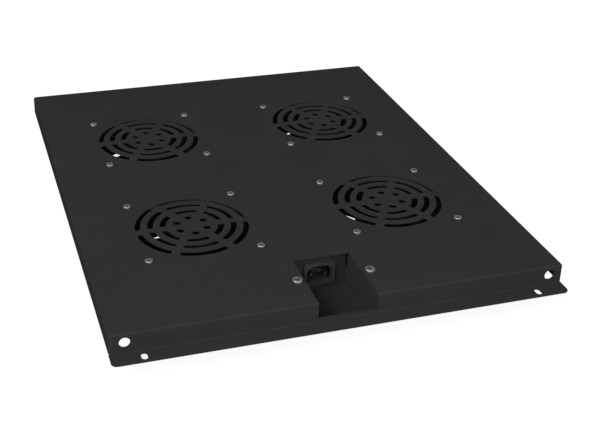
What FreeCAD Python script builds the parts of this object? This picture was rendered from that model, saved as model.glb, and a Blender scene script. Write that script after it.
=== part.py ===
import FreeCAD, Part
import math
import operator
import os
import PartDesign
import Sketcher

# A rack fan tray: one bent steel sheet that carries four mains fans under stamped grilles.
# Millimetres. X runs to the right, Y to the rear and Z up. The origin lies on the plane that the
# tray stands on, below the middle of its outline. The mounting flange points towards -Y.

SIZES = (
    # The bent sheet of the tray
    ("tray_width", 416),
    ("sheet_thickness", 1.2),
    ("front_margin", 156.5),
    ("rear_margin", 151.5),
    ("skirt_depth", 18.8),
    ("bend_radius", 2.0),
    ("corner_radius", 3.0),
    ("flange_reach", 15.5),
    ("flange_corner_radius", 5.0),
    # Holes by which the tray is fastened
    ("face_hole_radius", 4.75),
    ("face_hole_spacing", 389),
    ("face_hole_drop", 8.5),
    ("flange_slot_width", 5.5),
    ("flange_slot_length", 9.0),
    ("flange_slot_spacing", 360),
    ("flange_slot_reach", 8.0),
    # Fans and the holes that they share with the tray
    ("fan_pitch", 200),
    ("fan_size", 120),
    ("fan_depth", 38),
    ("fan_hole_pitch", 105),
    ("fan_hole_radius", 2.15),
    ("fan_corner_radius", 6.0),
    ("frame_corner_count", 4),
    ("fan_flange_thickness", 4.5),
    ("barrel_bore", 57.5),
    ("barrel_wall", 1.9),
    ("barrel_lip", 2.2),
    ("barrel_lip_height", 4.5),
    ("base_radius", 31),
    ("base_thickness", 3),
    ("strut_width", 6),
    ("strut_height", 4),
    ("strut_offset", 14),
    ("strut_count", 4),
    # Stamped grilles
    ("grille_radius", 55.6),
    ("grille_crown_radius", 49.4),
    ("grille_rise", 1.4),
    ("slots_per_ring", 6),
    ("outer_slot_inner", 49.0),
    ("outer_slot_outer", 54.3),
    ("outer_slot_web", 8.0),
    ("middle_slot_inner", 36.9),
    ("middle_slot_outer", 42.5),
    ("middle_slot_web", 6.5),
    ("inner_slot_inner", 24.7),
    ("inner_slot_outer", 30.7),
    ("inner_slot_web", 7.5),
    ("slot_corner_radius", 1.8),
    ("grille_hole_radius", 3.75),
    ("grille_hole_circle", 15),
    # Impeller
    ("blade_count", 5),
    ("blade_lead", 250),
    ("blade_height", 25),
    ("blade_middle", 18.5),
    ("blade_camber", 2.4),
    ("blade_thickness", 1.8),
    ("blade_root", 27),
    ("tip_clearance", 1.2),
    ("hub_radius", 30.5),
    ("hub_bottom", 6),
    ("hub_cap_thickness", 2.0),
    ("hub_round", 2.0),
    ("phase_front_left", 20),
    ("phase_front_right", 70),
    ("phase_rear_left", 44),
    ("phase_rear_right", 34),
    # Motor
    ("cup_radius", 28.5),
    ("cup_wall", 1.5),
    ("cup_top", 29),
    ("cup_boss_radius", 5),
    ("cup_boss_height", 4),
    ("cage_thickness", 5.3),
    ("air_gap", 0.4),
    ("shaft_radius", 2.0),
    ("shaft_clearance", 0.03),
    ("shaft_foot", 0.8),
    ("bush_wall", 2.5),
    ("bush_foot", 3.0),
    ("bush_height", 19),
    ("tube_wall", 2.0),
    ("ring_wall", 1.8),
    ("ring_thickness", 0.6),
    ("ring_clearance", 0.3),
    ("core_foot", 8),
    ("core_height", 12),
    ("core_yoke", 3),
    ("pole_width", 8),
    ("pole_shoe_thickness", 3),
    ("pole_gap", 4),
    ("coil_thickness", 3),
    ("coil_clearance", 0.2),
    ("pole_count", 4),
    # Terminals
    ("terminal_width", 14),
    ("terminal_height", 9),
    ("tab_width", 2.8),
    ("tab_thickness", 0.5),
    ("tab_reach", 7),
    ("tab_spacing", 5),
    # Screws and nuts of the fans
    ("fan_screw_radius", 2.0),
    ("fan_screw_length", 10),
    ("fan_screw_head_radius", 3.8),
    ("fan_screw_head_height", 2.0),
    ("fan_nut_across_flats", 7),
    ("fan_nut_height", 3.2),
    ("thread_clearance", 0.03),
    ("screw_hole_radius", 2.15),
    ("head_side_share", 0.45),
    ("head_shoulder_share", 0.85),
    ("head_shoulder_radius_share", 0.82),
    ("head_crown_radius_share", 0.5),
    # Screws and nuts of the inlet bracket
    ("bracket_screw_radius", 2.5),
    ("bracket_screw_length", 8),
    ("bracket_screw_head_radius", 4.7),
    ("bracket_screw_head_height", 2.4),
    ("bracket_screw_inset", 5.5),
    ("bracket_screw_reach", 38.2),
    ("bracket_hole_radius", 2.75),
    ("bracket_nut_across_flats", 8),
    ("bracket_nut_height", 4),
    # Recess and inlet bracket
    ("recess_width", 54.6),
    ("recess_length", 72.2),
    ("recess_drop", 15.4),
    ("bracket_width", 55),
    ("bracket_setback", 3.8),
    ("bracket_height", 35.5),
    ("bracket_front_gap", 0.5),
    ("bracket_tab_reach", 12),
    ("bracket_tab_length", 22),
    ("bracket_relief", 1.2),
    ("bracket_slit_drop", 17.7),
    ("bracket_front_chamfer", 8),
    # Mains inlet
    ("inlet_width", 30.2),
    ("inlet_height", 24),
    ("inlet_drop", 19.7),
    ("inlet_flange_thickness", 2.5),
    ("inlet_flange_corner", 1.0),
    ("inlet_body_width", 27.4),
    ("inlet_body_height", 19.8),
    ("inlet_body_length", 18),
    ("inlet_body_clearance", 0.1),
    ("inlet_cavity_width", 24.4),
    ("inlet_cavity_height", 16.6),
    ("inlet_cavity_chamfer", 4.6),
    ("inlet_floor", 4),
    ("wing_length", 8),
    ("wing_height", 7),
    ("wing_reach", 1.6),
    ("pin_width", 4),
    ("pin_thickness", 2),
    ("pin_spacing", 14),
    ("pin_drop", 1.6),
    ("earth_pin_rise", 2.4),
    ("pin_recess", 3),
    ("pin_tab_length", 8),
    ("pin_tab_thickness", 0.8),
)

CIRCLE = 360
UP = FreeCAD.Vector(0, 0, 1)

# Sketch axes and points, as the sketcher numbers them
HORIZONTAL_AXIS = -1
VERTICAL_AXIS = -2
ORIGIN = (-1, 1)
START = 1
END = 2
CENTRE = 3

OPERATORS = {"+": operator.add, "-": operator.sub, "*": operator.mul, "/": operator.truediv}


class Size(float):
    """A number that keeps the formula which gave it, so that a property can be bound to it."""

    def __new__(cls, number, formula):
        size = super().__new__(cls, number)
        size.formula = formula
        return size

    def __add__(self, other):
        return joined(self, "+", other)

    def __radd__(self, other):
        return joined(other, "+", self)

    def __sub__(self, other):
        return joined(self, "-", other)

    def __rsub__(self, other):
        return joined(other, "-", self)

    def __mul__(self, other):
        return joined(self, "*", other)

    def __rmul__(self, other):
        return joined(other, "*", self)

    def __truediv__(self, other):
        return joined(self, "/", other)

    def __rtruediv__(self, other):
        return joined(other, "/", self)

    def __neg__(self):
        return joined(0, "-", self)


def formula_of(number):
    """The text of a number, or of the formula that it came from."""
    return number.formula if isinstance(number, Size) else repr(number)


def joined(left, sign, right):
    """Two numbers put together, with their formulas."""
    number = OPERATORS[sign](float(left), float(right))
    return Size(number, "(%s %s %s)" % (formula_of(left), sign, formula_of(right)))


def sine(angle):
    return Size(math.sin(math.radians(angle)), "sin(%s * 1 deg)" % formula_of(angle))


def cosine(angle):
    return Size(math.cos(math.radians(angle)), "cos(%s * 1 deg)" % formula_of(angle))


def arcsine(ratio):
    return Size(math.degrees(math.asin(ratio)), "(asin(%s) / 1 deg)" % formula_of(ratio))


def arctangent(ratio):
    return Size(math.degrees(math.atan(ratio)), "(atan(%s) / 1 deg)" % formula_of(ratio))


doc = FreeCAD.newDocument("rack_fan_tray")
sheet = doc.addObject("Spreadsheet::Sheet", "sizes")
sub_parts = []


class Sizes:
    """The driving dimensions by name."""


sizes = Sizes()
for row, (alias, number) in enumerate(SIZES, start=1):
    sheet.set("A%d" % row, alias)
    sheet.set("B%d" % row, str(number))
    sheet.setAlias("B%d" % row, alias)
    setattr(sizes, alias, Size(number, "sizes." + alias))
doc.recompute()


def bind(thing, path, size):
    """Ties a property to the sheet, or sets it where the size is a plain number."""
    if isinstance(size, Size):
        thing.setExpression(path, size.formula)
    else:
        setattr(thing, path, size)


def new_body(label, x=0, y=0, z=0, turn=0):
    """An empty sub-part with its place in the tray."""
    body = doc.addObject("PartDesign::Body", label)
    body.Label = label
    body.AllowCompound = True
    spot = FreeCAD.Vector(float(x), float(y), float(z))
    body.Placement = FreeCAD.Placement(spot, FreeCAD.Rotation(UP, float(turn)))
    places = (("Base.x", x), ("Base.y", y), ("Base.z", z), ("Rotation.Angle", turn))
    for path, size in places:
        if isinstance(size, Size):
            body.setExpression("Placement." + path, size.formula)
    sub_parts.append(body)
    return body


def origin_feature(body, role):
    return next(item for item in body.Origin.OriginFeatures if item.Role == role)


def new_sketch(body, name, plane="XY_Plane", height=0, x=0, y=0):
    """A sketch on one of the body's own planes, moved along it by x and y and off it by height."""
    sketch = body.newObject("Sketcher::SketchObject", name)
    sketch.AttachmentSupport = [(origin_feature(body, plane), "")]
    sketch.MapMode = "FlatFace"
    for axis, size in (("x", x), ("y", y), ("z", height)):
        if isinstance(size, Size):
            sketch.setExpression("AttachmentOffset.Base." + axis, size.formula)
    return sketch


def dimension(sketch, kind, *items):
    """Adds a dimension, whose last item is its size, and ties it to the sheet."""
    size = items[-1]
    angular = kind == "Angle"
    number = math.radians(size) if angular else float(size)
    index = sketch.addConstraint(Sketcher.Constraint(kind, *items[:-1], number))
    if isinstance(size, Size):
        unit = " * 1 deg" if angular else ""
        sketch.setExpression("Constraints[%d]" % index, size.formula + unit)


def relate(sketch, kind, *items):
    sketch.addConstraint(Sketcher.Constraint(kind, *items))


def place(sketch, shape, point, x, y):
    """Fixes one point of a shape at x, y from the sketch's origin."""
    for kind, axis, size in (("DistanceX", VERTICAL_AXIS, x), ("DistanceY", HORIZONTAL_AXIS, y)):
        if isinstance(size, Size):
            dimension(sketch, kind, *ORIGIN, shape, point, size)
        else:
            relate(sketch, "PointOnObject", shape, point, axis)


def flat(x, y):
    return FreeCAD.Vector(float(x), float(y), 0)


def add_line(sketch, start, end):
    return sketch.addGeometry(Part.LineSegment(start, end), False)


def add_arc(sketch, centre, radius, start, end):
    """An arc that runs anticlockwise between two angles in degrees."""
    circle = Part.Circle(centre, UP, float(radius))
    arc = Part.ArcOfCircle(circle, math.radians(start), math.radians(end))
    return sketch.addGeometry(arc, False)


def draw_polygon(sketch, corners):
    """A closed outline through its corners."""
    lines = []
    for index, corner in enumerate(corners):
        following = corners[(index + 1) % len(corners)]
        lines.append(add_line(sketch, flat(*corner), flat(*following)))
    for index, line in enumerate(lines):
        relate(sketch, "Coincident", line, END, lines[(index + 1) % len(lines)], START)
        place(sketch, line, START, *corners[index])


def draw_rectangle(sketch, left, right, bottom, top):
    draw_polygon(sketch, ((left, bottom), (right, bottom), (right, top), (left, top)))


def draw_circle(sketch, radius, x=0, y=0):
    circle = Part.Circle(flat(x, y), UP, float(radius))
    index = sketch.addGeometry(circle, False)
    place(sketch, index, CENTRE, x, y)
    dimension(sketch, "Radius", index, radius)


def draw_square_outline(sketch, corners):
    """A closed outline of level and upright sides. A corner may have a radius as third number."""
    spots = [flat(*corner[:2]) for corner in corners]
    radii = [corner[2] if len(corner) > 2 else 0 for corner in corners]
    count = len(spots)
    ways = [(spots[(i + 1) % count] - spots[i]).normalize() for i in range(count)]
    lines = []
    for index in range(count):
        following = (index + 1) % count
        start = spots[index] + ways[index] * float(radii[index])
        end = spots[following] - ways[index] * float(radii[following])
        lines.append(add_line(sketch, start, end))
    for index, line in enumerate(lines):
        level = near(ways[index].y, 0)
        relate(sketch, "Horizontal" if level else "Vertical", line)
        size = corners[index][1 if level else 0]
        if isinstance(size, Size):
            dimension(sketch, "DistanceY" if level else "DistanceX", *ORIGIN, line, START, size)
        else:
            axis = HORIZONTAL_AXIS if level else VERTICAL_AXIS
            relate(sketch, "PointOnObject", line, START, axis)
    for index, line in enumerate(lines):
        join_at_corner(sketch, lines[index - 1], line, spots[index], radii[index],
                       ways[index - 1], ways[index])


def join_at_corner(sketch, before, after, spot, radius, arriving, leaving):
    """Joins two sides of an outline, by an arc where the corner has a radius."""
    if not radius:
        relate(sketch, "Coincident", before, END, after, START)
        return
    left_turn = arriving.cross(leaving).z > 0
    heading = math.degrees(math.atan2(arriving.y, arriving.x))
    quarter = CIRCLE / 4
    first = heading - quarter if left_turn else heading
    centre = spot + (leaving - arriving) * float(radius)
    arc = add_arc(sketch, centre, radius, first, first + quarter)
    relate(sketch, "Tangent", before, END, arc, START if left_turn else END)
    relate(sketch, "Tangent", arc, END if left_turn else START, after, START)
    dimension(sketch, "Radius", arc, radius)


def draw_rounded_rectangle(sketch, left, right, bottom, top, radius):
    """A rectangle whose four corners are arcs of one radius."""
    draw_square_outline(sketch, (
        (left, bottom, radius), (right, bottom, radius), (right, top, radius),
        (left, top, radius)))


def draw_oblong(sketch, width, length, x, y):
    """A slot with round ends that runs along the sketch's own vertical."""
    half = (length - width) / 2
    radius = width / 2
    top = add_arc(sketch, flat(x, y + half), radius, 0, CIRCLE / 2)
    bottom = add_arc(sketch, flat(x, y - half), radius, CIRCLE / 2, CIRCLE)
    left = add_line(sketch, flat(x - radius, y + half), flat(x - radius, y - half))
    right = add_line(sketch, flat(x + radius, y - half), flat(x + radius, y + half))
    relate(sketch, "Tangent", top, END, left, START)
    relate(sketch, "Tangent", left, END, bottom, START)
    relate(sketch, "Tangent", bottom, END, right, START)
    relate(sketch, "Tangent", right, END, top, START)
    relate(sketch, "Equal", top, bottom)
    place(sketch, top, CENTRE, x, y + half)
    place(sketch, bottom, CENTRE, x, y - half)
    dimension(sketch, "Radius", top, radius)


def draw_sector_slot(sketch, inner, outer, web, corner, count):
    """One of a ring of slots, on the vertical axis, between webs with parallel sides."""
    edge_angle = CIRCLE / 4 - CIRCLE / 2 / count
    along = math.radians(edge_angle)
    out = FreeCAD.Vector(math.cos(along), math.sin(along), 0)
    side = FreeCAD.Vector(-math.sin(along), math.cos(along), 0)
    inset = float(web / 2 + corner)

    def corner_centre(distance):
        return side * inset + out * math.sqrt(distance ** 2 - inset ** 2)

    def mirrored(point):
        return FreeCAD.Vector(-point.x, point.y, 0)

    def bearing(point):
        return math.degrees(math.atan2(point.y, point.x))

    outer_right = corner_centre(float(outer - corner))
    inner_right = corner_centre(float(inner + corner))
    outer_left = mirrored(outer_right)
    inner_left = mirrored(inner_right)
    right_face = float(edge_angle) - CIRCLE / 4
    left_face = CIRCLE / 2 - right_face
    middle = FreeCAD.Vector(0, 0, 0)
    outer_arc = add_arc(sketch, middle, outer, bearing(outer_right), bearing(outer_left))
    inner_arc = add_arc(sketch, middle, inner, bearing(inner_right), bearing(inner_left))
    half_turn = CIRCLE / 2
    corners = (
        add_arc(sketch, outer_right, corner, right_face, bearing(outer_right)),
        add_arc(sketch, outer_left, corner, bearing(outer_left), left_face),
        add_arc(sketch, inner_left, corner, left_face, bearing(inner_left) + half_turn),
        add_arc(sketch, inner_right, corner, bearing(inner_right) + half_turn,
                right_face + CIRCLE),
    )
    edge = side * float(corner)
    right = add_line(sketch, inner_right - edge, outer_right - edge)
    left = add_line(sketch, mirrored(outer_right - edge), mirrored(inner_right - edge))
    relate(sketch, "Tangent", right, END, corners[0], START)
    relate(sketch, "Tangent", corners[0], END, outer_arc, START)
    relate(sketch, "Tangent", outer_arc, END, corners[1], START)
    relate(sketch, "Tangent", corners[1], END, left, START)
    relate(sketch, "Tangent", left, END, corners[2], START)
    relate(sketch, "Tangent", corners[2], END, inner_arc, END)
    relate(sketch, "Tangent", inner_arc, START, corners[3], START)
    relate(sketch, "Tangent", corners[3], END, right, START)
    place(sketch, outer_arc, CENTRE, 0, 0)
    place(sketch, inner_arc, CENTRE, 0, 0)
    dimension(sketch, "Radius", outer_arc, outer)
    dimension(sketch, "Radius", inner_arc, inner)
    for arc in corners:
        dimension(sketch, "Radius", arc, corner)
    dimension(sketch, "Angle", right, edge_angle)
    dimension(sketch, "Angle", left, -edge_angle)
    for line in (right, left):
        dimension(sketch, "Distance", *ORIGIN, line, web / 2)


def draw_bowed_strip(sketch, chord, bow, thickness, tilt, height):
    """A blade's section: a strip of one thickness, bowed down along a chord that rises by tilt."""
    bow_radius = (chord * chord / 4 + bow * bow) / (2 * bow)
    reach = bow_radius - bow
    centre_x = -(sine(tilt) * reach)
    centre_y = height + cosine(tilt) * reach
    half_angle = arcsine(chord / 2 / bow_radius)
    first = tilt - CIRCLE / 4 - half_angle
    last = tilt - CIRCLE / 4 + half_angle
    centre = flat(centre_x, centre_y)
    upper_radius = bow_radius - thickness / 2
    lower_radius = bow_radius + thickness / 2
    upper = add_arc(sketch, centre, upper_radius, first, last)
    lower = add_arc(sketch, centre, lower_radius, first, last)
    for angle, point in ((first, START), (last, END)):
        turn = math.radians(angle)
        out = FreeCAD.Vector(math.cos(turn), math.sin(turn), 0)
        begin = centre + out * float(upper_radius)
        line = add_line(sketch, begin, centre + out * float(lower_radius))
        relate(sketch, "Coincident", upper, point, line, START)
        relate(sketch, "Coincident", lower, point, line, END)
        relate(sketch, "PointOnObject", upper, CENTRE, line)
        dimension(sketch, "Angle", line, angle)
    relate(sketch, "Coincident", upper, CENTRE, lower, CENTRE)
    place(sketch, upper, CENTRE, centre_x, centre_y)
    dimension(sketch, "Radius", upper, upper_radius)
    dimension(sketch, "Radius", lower, lower_radius)


def extrude(body, kind, sketch, length, down=False, both_ways=False):
    """A pad or a pocket. It goes along the sketch's normal, or against it where down is set."""
    feature = body.newObject("PartDesign::" + kind, sketch.Name + "_" + kind.lower())
    feature.Profile = sketch
    feature.Midplane = both_ways
    # A pocket's own direction is against the normal of its sketch.
    feature.Reversed = down if kind == "Pad" else not down
    bind(feature, "Length", length)
    sketch.Visibility = False
    return feature


def turn_about_axis(body, kind, sketch):
    """A full revolution or groove about the body's own Z axis."""
    feature = body.newObject("PartDesign::" + kind, sketch.Name + "_" + kind.lower())
    feature.Profile = sketch
    feature.ReferenceAxis = (origin_feature(body, "Z_Axis"), [""])
    feature.Angle = CIRCLE
    return feature


def polar_pattern(body, originals, count, name):
    """Copies round the body's own Z axis."""
    pattern = body.newObject("PartDesign::PolarPattern", name)
    pattern.Originals = originals
    pattern.Axis = (origin_feature(body, "Z_Axis"), [""])
    pattern.Angle = CIRCLE
    bind(pattern, "Occurrences", count)
    body.Tip = pattern
    return pattern


def grid_pattern(body, originals, sketch, name, steps, around=None):
    """Copies along the sketch's axes, by pairs of axis and step, and first round its origin."""
    multi = body.newObject("PartDesign::MultiTransform", name)
    multi.Originals = originals
    multi.Refine = False
    transforms = []
    if around:
        polar = doc.addObject("PartDesign::PolarPattern", name + "_round")
        polar.Axis = (sketch, ["N_Axis"])
        polar.Angle = CIRCLE
        bind(polar, "Occurrences", around)
        transforms.append(polar)
    for index, (axis, step) in enumerate(steps):
        line = doc.addObject("PartDesign::LinearPattern", "%s_along_%d" % (name, index))
        line.Direction = (sketch, [axis + "_Axis"])
        line.Occurrences = 2
        bind(line, "Length", step)
        transforms.append(line)
    for transform in transforms:
        body.addObject(transform)
    multi.Transformations = transforms
    body.Tip = multi
    return multi


def edges_where(feature, test):
    """The names of a feature's edges that pass a test."""
    doc.recompute()
    edges = enumerate(feature.Shape.Edges, start=1)
    return ["Edge%d" % index for index, edge in edges if test(edge)]


def round_edges(body, feature, test, radius, name):
    """A fillet on the edges that pass the test."""
    fillet = body.newObject("PartDesign::Fillet", name)
    fillet.Base = (feature, edges_where(feature, test))
    bind(fillet, "Radius", radius)
    body.Tip = fillet
    return fillet


def near(first, second):
    return abs(float(first) - float(second)) < 1e-4


def lies_at(edge, axis, size):
    """Whether a whole edge lies at one X, Y or Z."""
    box = edge.BoundBox
    return near(getattr(box, axis + "Min"), size) and near(getattr(box, axis + "Max"), size)


# Places that more than one piece shares
plate_top = sizes.fan_depth + sizes.sheet_thickness
plate_underside = sizes.fan_depth
grid_half = sizes.fan_pitch / 2
hole_half = sizes.fan_hole_pitch / 2
front_face = -(grid_half + sizes.front_margin)
rear_face = grid_half + sizes.rear_margin
flange_edge = front_face - sizes.flange_reach
grid_y = -(flange_edge + rear_face) / 2
recess_rear = front_face + sizes.recess_length
bracket_wall = recess_rear + sizes.bracket_setback
bracket_screw_y = recess_rear + sizes.bracket_setback - sizes.bracket_screw_reach
bracket_side = sizes.sheet_thickness + sizes.bracket_screw_inset
bracket_screw_spacing = sizes.bracket_width + 2 * bracket_side
barrel_outer = sizes.barrel_bore + sizes.barrel_wall
bush_bore = sizes.shaft_radius + sizes.shaft_clearance
bush_outer = bush_bore + sizes.bush_wall
tube_outer = bush_outer + sizes.tube_wall
cup_inner = sizes.cup_radius - sizes.cup_wall
core_radius = cup_inner - sizes.cage_thickness - sizes.air_gap

FANS = (
    ("front_left", -1, -1, sizes.phase_front_left),
    ("front_right", 1, -1, sizes.phase_front_right),
    ("rear_left", -1, 1, sizes.phase_rear_left),
    ("rear_right", 1, 1, sizes.phase_rear_right),
)


def bend_tray_sheet(body):
    """The open box with its skirts, in the frame whose origin is amid the fans on the top face."""
    half = sizes.tray_width / 2
    outline = new_sketch(body, "tray_outline")
    draw_rounded_rectangle(outline, -half, half, front_face, rear_face, sizes.corner_radius)
    block = extrude(body, "Pad", outline, sizes.skirt_depth, down=True)
    bent = round_edges(body, block, lambda edge: lies_at(edge, "Z", 0), sizes.bend_radius,
                       "tray_bends")
    doc.recompute()
    faces = enumerate(bent.Shape.Faces, start=1)
    open_side = next("Face%d" % index for index, face in faces
                     if near(face.BoundBox.ZMax, -sizes.skirt_depth))
    shell = body.newObject("PartDesign::Thickness", "tray_shell")
    shell.Base = (bent, [open_side])
    shell.Reversed = True
    bind(shell, "Value", sizes.sheet_thickness)
    body.Tip = shell


def bend_tray_flange(body):
    """The flange that stands out at the foot of the front wall. Its bend stops short of the
    tray's round corners, and its flat carries on below them."""
    wall = sizes.sheet_thickness
    inner_radius = sizes.bend_radius - wall
    top = -sizes.skirt_depth
    side = new_sketch(body, "tray_flange_side", "YZ_Plane")
    draw_square_outline(side, (
        (flange_edge + sizes.flange_corner_radius, top - wall),
        (front_face + wall, top - wall, sizes.bend_radius),
        (front_face + wall, top + wall + inner_radius),
        (front_face, top + wall + inner_radius),
        (front_face, top, inner_radius),
        (flange_edge + sizes.flange_corner_radius, top)))
    extrude(body, "Pad", side, sizes.tray_width - 2 * sizes.corner_radius, both_ways=True)
    half = sizes.tray_width / 2
    bend_end = half - sizes.corner_radius
    plan = new_sketch(body, "tray_flange_plan", height=top - wall)
    corner = sizes.flange_corner_radius
    draw_square_outline(plan, (
        (-half, flange_edge, corner), (half, flange_edge, corner), (half, front_face + wall),
        (bend_end, front_face + wall), (bend_end, front_face - inner_radius),
        (-bend_end, front_face - inner_radius), (-bend_end, front_face + wall),
        (-half, front_face + wall)))
    extrude(body, "Pad", plan, wall)


def stamp_grilles(body):
    """The four raised discs and their slots."""
    wall = sizes.sheet_thickness
    crown = new_sketch(body, "grille_crown", "XZ_Plane")
    draw_polygon(crown, (
        (0, 0), (sizes.grille_radius, 0), (sizes.grille_crown_radius, sizes.grille_rise),
        (0, sizes.grille_rise)))
    hollow = new_sketch(body, "grille_hollow", "XZ_Plane")
    draw_polygon(hollow, (
        (0, -wall), (sizes.grille_radius, -wall),
        (sizes.grille_crown_radius, sizes.grille_rise - wall), (0, sizes.grille_rise - wall)))
    corner = new_sketch(body, "grille_corner", x=-grid_half, y=-grid_half)
    raised = turn_about_axis(body, "Revolution", crown)
    sunk = turn_about_axis(body, "Groove", hollow)
    for sketch in (crown, hollow):
        sketch.setExpression("AttachmentOffset.Base.x", (-grid_half).formula)
        sketch.setExpression("AttachmentOffset.Base.z", grid_half.formula)
    for feature, sketch in ((raised, crown), (sunk, hollow)):
        feature.ReferenceAxis = (sketch, ["V_Axis"])
    steps = (("H", sizes.fan_pitch), ("V", sizes.fan_pitch))
    grid_pattern(body, [raised, sunk], corner, "grille_discs", steps)
    depth = sizes.grille_rise + 2 * wall
    rings = (
        (sizes.outer_slot_inner, sizes.outer_slot_outer, sizes.outer_slot_web),
        (sizes.middle_slot_inner, sizes.middle_slot_outer, sizes.middle_slot_web),
        (sizes.inner_slot_inner, sizes.inner_slot_outer, sizes.inner_slot_web),
    )
    slots = new_sketch(body, "grille_slots", height=sizes.grille_rise + wall / 2,
                       x=-grid_half, y=-grid_half)
    for inner, outer, web in rings:
        draw_sector_slot(slots, inner, outer, web, sizes.slot_corner_radius,
                         sizes.slots_per_ring)
    draw_circle(slots, sizes.grille_hole_radius, 0, sizes.grille_hole_circle)
    cut = extrude(body, "Pocket", slots, depth, down=True)
    grid_pattern(body, [cut], slots, "grille_cuts", steps, around=sizes.slots_per_ring)


def cut_tray_openings(body):
    """The inlet's recess and every hole that a screw or a bolt passes."""
    wall = sizes.sheet_thickness
    half = sizes.recess_width / 2
    recess = new_sketch(body, "recess")
    draw_rectangle(recess, -half, half, front_face - wall, recess_rear)
    extrude(body, "Pocket", recess, sizes.recess_drop, down=True)
    face = new_sketch(body, "face_hole", "XZ_Plane", height=-(front_face - wall))
    draw_circle(face, sizes.face_hole_radius, -sizes.face_hole_spacing / 2,
                -sizes.face_hole_drop)
    face_cut = extrude(body, "Pocket", face, 3 * wall, down=True)
    grid_pattern(body, [face_cut], face, "face_holes", (("H", sizes.face_hole_spacing),))
    slot = new_sketch(body, "flange_slot", height=-sizes.skirt_depth + wall / 2)
    draw_oblong(slot, sizes.flange_slot_width, sizes.flange_slot_length,
                -sizes.flange_slot_spacing / 2, front_face - sizes.flange_slot_reach)
    slot_cut = extrude(body, "Pocket", slot, 2 * wall, down=True)
    grid_pattern(body, [slot_cut], slot, "flange_slots", (("H", sizes.flange_slot_spacing),))
    fan_hole = new_sketch(body, "fan_screw_hole", height=wall / 2)
    draw_circle(fan_hole, sizes.screw_hole_radius, -grid_half - hole_half,
                -grid_half - hole_half)
    fan_cut = extrude(body, "Pocket", fan_hole, 2 * wall, down=True)
    grid_pattern(body, [fan_cut], fan_hole, "fan_screw_holes", screw_steps())
    bracket_hole = new_sketch(body, "bracket_screw_hole", height=wall / 2)
    draw_circle(bracket_hole, sizes.bracket_hole_radius, -bracket_screw_spacing / 2,
                bracket_screw_y)
    bracket_cut = extrude(body, "Pocket", bracket_hole, 2 * wall, down=True)
    grid_pattern(body, [bracket_cut], bracket_hole, "bracket_screw_holes",
                 (("H", bracket_screw_spacing),))


def screw_steps():
    """The steps from one corner fan screw to all sixteen."""
    return (("H", sizes.fan_hole_pitch), ("V", sizes.fan_hole_pitch),
            ("H", sizes.fan_pitch), ("V", sizes.fan_pitch))


def make_tray_plate():
    body = new_body("tray_plate", y=grid_y, z=plate_top)
    bend_tray_sheet(body)
    bend_tray_flange(body)
    cut_tray_openings(body)
    stamp_grilles(body)


def make_fan_frame(name, x, y, turn):
    """A cast square frame: two flanges, a barrel, and struts that hold the motor's base."""
    body = new_body("fan_frame_" + name, x, y, turn=turn)
    half = sizes.fan_size / 2
    top_flange = sizes.fan_depth - sizes.fan_flange_thickness
    for level, height in (("lower", 0), ("upper", top_flange)):
        square = new_sketch(body, "frame_%s_%s" % (level, name), height=height)
        draw_rounded_rectangle(square, -half, half, -half, half, sizes.fan_corner_radius)
        extrude(body, "Pad", square, sizes.fan_flange_thickness)
    barrel = new_sketch(body, "barrel_" + name)
    draw_circle(barrel, barrel_outer)
    extrude(body, "Pad", barrel, sizes.fan_depth)
    flare = sizes.barrel_lip_height
    mouth = sizes.barrel_bore + sizes.barrel_lip
    bore = new_sketch(body, "bore_" + name, "XZ_Plane")
    draw_polygon(bore, (
        (0, 0), (mouth, 0), (sizes.barrel_bore, flare),
        (sizes.barrel_bore, sizes.fan_depth - flare), (mouth, sizes.fan_depth),
        (0, sizes.fan_depth)))
    turn_about_axis(body, "Groove", bore)
    screw_hole = new_sketch(body, "frame_hole_" + name)
    draw_circle(screw_hole, sizes.fan_hole_radius, hole_half, hole_half)
    drilled = extrude(body, "Pocket", screw_hole, sizes.fan_depth)
    polar_pattern(body, [drilled], sizes.frame_corner_count, "frame_holes_" + name)
    base = new_sketch(body, "motor_base_" + name)
    draw_circle(base, sizes.base_radius)
    extrude(body, "Pad", base, sizes.base_thickness)
    strut = new_sketch(body, "strut_" + name)
    near_end = sizes.base_radius / 2
    far_end = sizes.barrel_bore
    draw_rectangle(strut, near_end, far_end, sizes.strut_offset - sizes.strut_width / 2,
                   sizes.strut_offset + sizes.strut_width / 2)
    arm = extrude(body, "Pad", strut, sizes.strut_height)
    polar_pattern(body, [arm], sizes.strut_count, "struts_" + name)
    tube = new_sketch(body, "bearing_tube_" + name)
    draw_circle(tube, tube_outer)
    extrude(body, "Pad", tube, sizes.bush_foot + sizes.bush_height)
    seat = new_sketch(body, "bearing_seat_" + name)
    draw_circle(seat, bush_outer)
    extrude(body, "Pocket", seat, sizes.bush_foot + sizes.bush_height)
    window = new_sketch(body, "terminal_window_" + name, "YZ_Plane", height=sizes.barrel_bore / 2)
    side = sizes.terminal_width / 2
    middle = sizes.fan_depth / 2
    draw_rectangle(window, -side, side, middle - sizes.terminal_height / 2,
                   middle + sizes.terminal_height / 2)
    extrude(body, "Pocket", window, sizes.fan_size / 2)


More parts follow.
